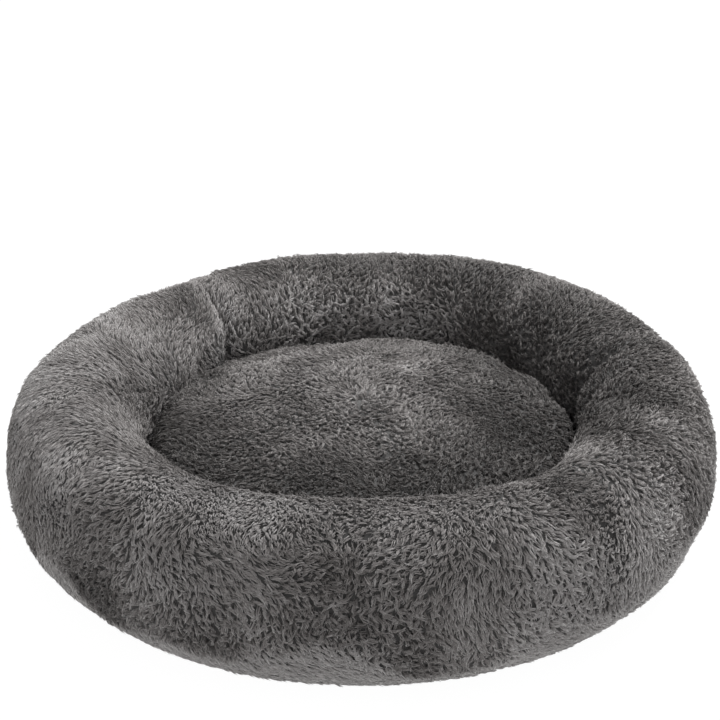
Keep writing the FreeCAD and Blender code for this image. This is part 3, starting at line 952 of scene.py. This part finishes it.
def stuffed_dome():
    """The cushion's plush top, simulated as part of a closed cloth body."""
    angles = np.arange(DOME_STEPS) * 2 * math.pi / DOME_STEPS
    seam_radius = CUSHION_RADIUS - CUSHION_SEAM_INSET
    section = evenly(cushion_section(PILE + SWELL, CUSHION_SEAM_Z, seam_radius), DOME_COLS)
    section[-1, 0] = 0.0008
    points = turned(section, angles)
    free = smoothstep(points[..., 2], CUSHION_SEAM_Z, CUSHION_SEAM_Z + 0.025)
    points = lumps(points, grid_normals(points), FILL_LUMP, free)
    middle = points[:, 0] * np.array([0.001, 0.001, 0]) + np.array([0, 0, CUSHION_SEAM_Z - 0.02])
    closed = np.concatenate([middle[:, None], points], axis=1)
    held = np.zeros(closed.shape[:2])
    held[:, :2] = 1.0
    free = np.concatenate([np.zeros((len(angles), 1)), free], axis=1)
    return blown_up("cushion_cloth", closed, free, held, False, CUSHION_CREASE)[:, 1:]


dome = stuffed_dome()
dome_normals = grid_normals(dome)
outward = unit(dome * FLAT + np.array([1e-5, 0, 0]))
swing = 0.8 * waves(dome, 0.15, 41) + 0.5 * waves(dome, 0.06, 42)
dome_lay = nap_way(outward, dome_normals, swing)
patch_tone, patch_stand, patch_curl = brushed_and_painted_light(dome, DOME_PATCHES)
dome_stand = patch_stand * (1.0 + 0.22 * waves(dome, 0.09, 43))
dome_curl = patch_curl * (1.0 + 0.25 * waves(dome, 0.11, 46))
dome_tone = patch_tone + 0.06 * waves(dome, 0.08, 44) + 0.05 * waves(dome, 0.03, 45)
dome_pile = grow(
    dome, dome_normals, dome_lay, dome_stand, dome_curl, dome_tone, DOME_STYLE, clear_of_cushion_zip)

back = grid_object("plush_backing_cushion", dome)
dress(back, BACKING, "cushion", "plush", "cushion_cover_top")
pile_pieces("plush_pile_cushion", np.linspace(0, 360, 7), "cushion", DOME_STYLE, *dome_pile)

# ---- base, well and pan


def disc_rows(outline, steps):
    """A surface of turning through (radius, height) points: points[angle, ring]."""
    return turned(np.array(outline), np.arange(steps) * 2 * math.pi / steps)


def base_cloth():
    """The woven underside: flat, with its edge turned up over itself."""
    z_low, z_high = BASE_CLOTH_Z, BASE_BOX[1][2]
    edge = BASE_RADIUS
    fold = z_high + 0.0003
    flat_radii = (0.0004, 0.10, 0.20, 0.28)
    outline = [(radius, z_low) for radius in (*flat_radii, edge - 0.010, edge - 0.002)]
    outline += [(edge - 0.0003, z_low + 0.0002), (edge, 0.5 * (z_low + z_high))]
    outline += [(radius, fold) for radius in (edge - 0.0004, edge - 0.003, edge - BASE_HEM)]
    outline += [(radius, z_high) for radius in (edge - BASE_HEM - 0.0005, *reversed(flat_radii))]
    return grid_object("base_cloth", draw_in(disc_rows(outline, 360)))


def draw_in(points):
    """Moves the base's edge inwards where no zip runs, so that the pile covers it."""
    radius = radius_of(points)
    away = np.abs(off_heading(points, sum(ZIP_SPAN["bed_zip"]) / 2))
    share = smoothstep(away, 60.0, 68.0) * smoothstep(radius, 0.27, 0.30)
    shrink = 1 - BASE_INSET * share / np.maximum(radius, 0.01)
    return points * shrink[..., None] ** FLAT


def grip_dots():
    """Small rubbery domes printed on the underside in a staggered pattern."""
    rows = int(BASE_RADIUS / DOT_ROW_PITCH) + 1
    i, j = np.meshgrid(np.arange(-rows, rows + 1), np.arange(-rows - 2, rows + 3), indexing="ij")
    spots = np.stack([(j + 0.5 * (i % 2)) * DOT_PITCH, i * DOT_ROW_PITCH, 0 * i], axis=-1)
    spots = spots[radius_of(spots) < BASE_RADIUS - DOT_MARGIN]
    shares = ((1.0, BASE_CLOTH_Z + 0.0001), (0.86, 0.00025), (0.45, 0.00005))
    rings = disc_rows([(share * DOT_RADIUS, z) for share, z in shares], DOT_SIDES)
    one = np.concatenate([rings.transpose(1, 0, 2).reshape(-1, 3), [[0, 0, 0.00002]]])
    verts = one[None] + spots[:, None, :]
    wall = grid_faces(len(shares), DOT_SIDES, False, True)
    top_point = len(one) - 1
    last = top_point - DOT_SIDES
    cap = np.array([[last + k, top_point, last + (k + 1) % DOT_SIDES] for k in range(DOT_SIDES)])
    wall, cap = (repeated(faces, len(spots), len(one)) for faces in (wall, cap))
    return new_mesh("grip_dots", verts, wall, cap)


def quilted_floor():
    """The well's lining over its wadding, stitched in diamonds."""
    low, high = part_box("well_floor")
    reach = high[0]
    outline = [(radius, high[2]) for radius in np.linspace(0.0006, reach - 0.002, 110)]
    grid = disc_rows(outline + [(reach, low[2])], 320)
    x, y = grid[..., 0], grid[..., 1]
    half = 0.5 * QUILT_PITCH
    to_lines = [np.abs((way / math.sqrt(2) + half) % QUILT_PITCH - half) for way in (x + y, x - y)]
    to_line = np.minimum(*to_lines)
    sink = QUILT_DEPTH * np.exp(-to_line / QUILT_SLOPE) + 0.0004 * (1 + waves(grid, 0.03, 51))
    sink[:, -1] = 0
    grid[..., 2] -= np.clip(sink, 0, 0.004)
    return grid_object("well_lining", grid)


def cushion_pan():
    """The cushion's woven underside, rounded up to the seam, with slight gathers."""
    low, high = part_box("cushion_cover_base")
    reach, bend_z = high[0], low[2] + PAN_BEND
    outline = [(radius, low[2]) for radius in (0.0006, 0.06, 0.12, 0.17)]
    outline += list(arc_points((reach - PAN_BEND, bend_z), PAN_BEND, -0.5 * math.pi, 0, 8))
    outline += [(reach, z) for z in np.linspace(bend_z + 0.002, high[2], 9)]
    grid = disc_rows(outline, 360)
    turn = np.radians(heading_of(grid))
    gather = np.sin(turn * GATHERS + 2.0 * np.sin(turn * 7))
    gather = gather * smoothstep(grid[..., 2], low[2] + 0.004, low[2] + 0.016)
    radius = radius_of(grid)
    grid[..., :2] *= (1 - GATHER_DEPTH * (1 + gather) / radius)[..., None]
    edge_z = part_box("cushion_zip_tape_lower")[0][2] - 0.0003
    window = in_span(grid, ZIP_SPAN["cushion_zip"]) & (grid[..., 2] > edge_z)
    grid[window, 2] = edge_z
    return grid_object("cushion_pan_cloth", grid, flip=True)


dress(base_cloth(), OXFORD, "bolster", "base_cloth", "base_panel")
dress(grip_dots(), RUBBER, "bolster", "base_cloth")
dress(quilted_floor(), LINING, "bolster", "lining_cloth", "well_floor")
dress(cushion_pan(), LINING, "cushion", "lining_cloth", "cushion_cover_base")


def pad_cloth():
    """The thin wadding in the floor of the well, with an uneven top."""
    low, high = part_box("base_padding")
    reach = high[0]
    radii = [0.0005, 0.1, 0.19, reach - 0.006, reach, reach - 0.003, 0.19, 0.1, 0.0005]
    heights = [low[2]] * 4 + [0.5 * high[2]] + [high[2] - 0.004] * 4
    grid = disc_rows(list(zip(radii, heights)), 120)
    grid[..., 2] += np.where(grid[..., 2] > 0.01, 0.0008 * waves(grid, 0.03, 52), 0)
    return grid_object("base_wadding", grid)


def cushion_insides():
    """The cushion's inner bag, closed below by a flat floor, and the fibre in it."""
    inner = dome - dome_normals * CUSHION_BAG_DEPTH
    low_ring = inner[:, :1] * FLAT + np.array([0, 0, BAG_FLOOR])
    centre_ring = low_ring * np.array([0.002, 0.002, 1])
    shell = np.concatenate([centre_ring, low_ring * np.array([0.96, 0.96, 1]), inner], axis=1)
    core = shell * np.array([0.985, 0.985, 1])
    core[..., 2] = np.clip(core[..., 2] - CUSHION_BAG_DEPTH, BAG_FLOOR + 0.0015, None)
    return [grid_object(name, grid)
            for name, grid in (("cushion_inner_bag", shell), ("cushion_fibre", core))]


pad = dress(pad_cloth(), FIBRE, "bolster", "filling", "base_padding")
bag, fibre = cushion_insides()
dress(bag, NONWOVEN, "cushion", "lining", "cushion_liner")
dress(fibre, FIBRE, "cushion", "filling", "cushion_fill")

# ---- zips, stitches and label


def tube_faces(rows, cols):
    """Faces of a tube of rows x cols points: its wall, and its two ends."""
    ring_order = np.arange(cols)
    ends = np.stack([ring_order[::-1], (rows - 1) * cols + ring_order])
    return grid_faces(rows, cols, False, True), ends


def closed_tube(name, grid):
    return new_mesh(name, grid, *tube_faces(grid.shape[0], grid.shape[1]))


def strip(name, outer, inner, z, span, steps):
    """A closed strip round the bed's axis, between an outer and an inner radius at each height."""
    section = np.concatenate([np.stack([outer, z], axis=1), np.stack([inner, z], axis=1)[::-1]])
    return closed_tube(name, turned(section, np.radians(np.linspace(*span, steps))))


def zip_tape(name, node, radius, span, towards_coil):
    """A woven tape with a thick corded edge beside the teeth and a ribbed field."""
    low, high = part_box(node)
    line = np.linspace(0, 1, 9)
    z = low[2] + (high[2] - low[2]) * line
    bead = 1.0 + 0.9 * np.exp(-((line - (1.0 if towards_coil > 0 else 0.0)) / 0.12) ** 2)
    half = TAPE_HALF * bead * (1.0 + 0.12 * np.cos(line * 8 * math.pi))
    return strip(name, radius + half, radius - half, z, span, 200)


def coil(name, radius, z_mid, side, span):
    """One row of nylon coil: a flattened helix of monofilament along the tape's edge."""
    first, last = np.radians(span)
    loops = int((last - first) * radius / COIL_PITCH)
    turn = np.linspace(0, loops * 2 * math.pi, loops * COIL_SIDES, endpoint=False)
    heading = first + turn / turn[-1] * (last - first)
    r = radius + COIL_REACH * np.sin(turn)
    z = z_mid + side * (COIL_OFFSET + COIL_REACH * np.cos(turn))
    path = np.stack([r * np.cos(heading), r * np.sin(heading), z], axis=1)
    way = unit(np.gradient(path, axis=0))
    a = unit(np.cross(way, np.array([0.3, 0.2, 1.0])))
    b = np.cross(way, a)
    sides = [path + COIL_WIRE * arm for arm in round_arms(a, b, THREAD_SIDES)]
    return closed_tube(name, np.stack(sides, axis=1))


def stitches(name, path, out_way):
    """A row of sewn stitches along a path: short threads that dip into the cloth at both ends."""
    run = run_along(path)
    count = int(run[-1] / (STITCH + STITCH_GAP))
    rise = np.array([-0.8, 0.5, 0.8, 0.5, -0.8]) * THREAD_RADIUS
    thick = np.array([0.45, 0.95, 1.0, 0.95, 0.45]) * THREAD_RADIUS
    t = np.linspace(-1, 1, len(rise))
    at = (np.arange(count) + 0.5)[:, None] / count * run[-1] + t[None, :] * 0.5 * STITCH

    def look(field):
        return np.stack([np.interp(at, run, field[:, k]) for k in range(3)], axis=-1)

    centre, out = look(path), unit(look(out_way))
    centre = centre + out * rise[None, :, None]
    way = unit(np.gradient(centre, axis=1))
    across = np.cross(way, out)
    sides = [centre + arm * thick[None, :, None] for arm in round_arms(out, across, THREAD_SIDES)]
    verts = np.stack(sides, axis=2)
    each = len(rise) * THREAD_SIDES
    quads, ends = (repeated(faces, count, each) for faces in tube_faces(len(rise), THREAD_SIDES))
    return new_mesh(name, verts, quads, ends)


def arc_path(radius, z, span, steps=400):
    a = np.radians(np.linspace(*span, steps))
    return np.stack([radius * np.cos(a), radius * np.sin(a), np.full(steps, z)], axis=1)


def zip_guard(name, radius, z_ends, span):
    """The strip of lining behind a zip, which keeps the filling's bag out of the coil."""
    z = np.linspace(*z_ends, 7)
    fold = 0.0002 * np.cos(np.linspace(0, 2 * math.pi, 7))
    return strip(name, radius + fold, radius - GUARD_THICK + fold, z, span, 160)


for name, body in (("bed_zip", "bolster"), ("cushion_zip", "cushion")):
    radius = ZIP_RADIUS[name]
    span = (ZIP_SPAN[name][0] + TAPE_INSET_DEG, ZIP_SPAN[name][1] - TAPE_INSET_DEG)
    tape_span = (span[0] - TAPE_TAIL_DEG[name], span[1] + TAPE_TAIL_DEG[name])
    stop = math.degrees(END_STOP / radius)
    row_span = (span[0] + stop, span[1] - stop)
    lower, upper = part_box(name + "_tape_lower"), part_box(name + "_tape_upper")
    z_low, z_mid, z_high = lower[0][2], 0.5 * (lower[1][2] + upper[0][2]), upper[1][2]
    guard_ends = (z_low - GUARD_MARGIN, z_high + 0.5 * GUARD_MARGIN)
    guard = zip_guard(name + "_guard", radius - GUARD_DEPTH, guard_ends, tape_span)
    dress(guard, OXFORD, body, "lining_cloth")
    for label, side, edge_z in (("upper", 1, z_high), ("lower", -1, z_low)):
        node = f"{name}_tape_{label}"
        tape = zip_tape(f"{name}_cloth_{label}", node, radius, tape_span, -side)
        dress(tape, TAPE, body, "zip_tape", node)
        row = coil(f"{name}_coil_{label}", radius, z_mid, side, row_span)
        dress(row, NYLON, body, "zip_coil", f"{name}_teeth_{label}")
        path = arc_path(radius + STITCH_OUT, edge_z - side * STITCH_INSET, span)
        seam = stitches(f"{name}_stitches_{label}", path, unit(path * FLAT))
        dress(seam, THREAD, body, "zip_tape")

hem = draw_in(arc_path(BASE_RADIUS - HEM_STITCH_INSET, BASE_CLOTH_Z, (0, 360), 900))
hem_seam = stitches("base_hem_stitches", hem, np.broadcast_to([0.0, 0.0, -1.0], hem.shape))
dress(hem_seam, THREAD, "bolster", "base_cloth")


def care_label():
    """A folded satin tab, a little curled, lying out from the base seam."""
    low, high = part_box("care_label")
    middle = 0.5 * (np.array(low) + np.array(high))
    heading = math.atan2(middle[1], middle[0])
    out = np.array([math.cos(heading), math.sin(heading), 0])
    side = np.array([-out[1], out[0], 0])
    u = np.linspace(0, 1, 24)
    v = np.linspace(-0.5, 0.5, 13)
    reach = BASE_RADIUS + 0.0003 + u * LABEL_LENGTH
    flat = reach[:, None, None] * out + (v * LABEL_WIDTH)[None, :, None] * side
    lift = 0.0008 + LABEL_CURL * u ** 2.4
    wave = 0.0005 * np.sin(v * 9)[None, :] * u[:, None]
    sheets = []
    for gap in (LABEL_PLY, 0.0):
        z = lift + gap * (1 - u ** 6)
        sheets.append(flat + (z[:, None] + wave)[..., None] * np.array([0, 0, 1.0]))
    return grid_object("care_label_tab", np.concatenate([sheets[0], sheets[1][::-1]]))


dress(care_label(), SATIN, "bolster", "label_cloth", "care_label")

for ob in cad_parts.values():
    for slot in ob.material_slots:
        slot.material = METAL

# ---- studio
corner = (-FLOOR_REACH, FLOOR_REACH)
floor_grid = np.array([[[x, y, 0.0] for y in corner] for x in corner])
floor = grid_object("floor", floor_grid, False, flip=True)
floor_paint, nt, shader = material("studio_floor")
plug(nt, shader, {
    "Base Color": (FLOOR_WHITE, FLOOR_WHITE, FLOOR_WHITE, 1),
    "Roughness": 0.9,
    "Specular IOR Level": 0.0,
    "Emission Color": (1, 1, 1, 1),
    "Emission Strength": FLOOR_GLOW,
})
floor.data.materials.append(floor_paint)

world = bpy.data.worlds.new("studio")
world.use_nodes = True
sky = world.node_tree.nodes["Background"]
plug(world.node_tree, sky, {"Color": (1, 1, 1, 1), "Strength": WORLD})
bpy.context.scene.world = world

lamp = bpy.data.lights.new("overhead", "AREA")
lamp.shape = "DISK"
lamp.size = LAMP_SIZE
lamp.energy = LAMP_POWER
overhead = add_object("overhead", lamp)
overhead.location = LAMP_PLACE
overhead.rotation_euler = (Vector(LAMP_AIM) - Vector(LAMP_PLACE)).to_track_quat("-Z", "Y").to_euler()

camera = add_object("camera", bpy.data.cameras.new("camera"))
camera.data.lens = 100
camera.data.sensor_width = 36
camera.location = CAMERA_PLACE
camera.rotation_euler = (math.radians(90 - CAMERA_DOWN_DEG), 0, 0)
bpy.context.scene.camera = camera
bpy.context.scene.view_settings.view_transform = "Standard"
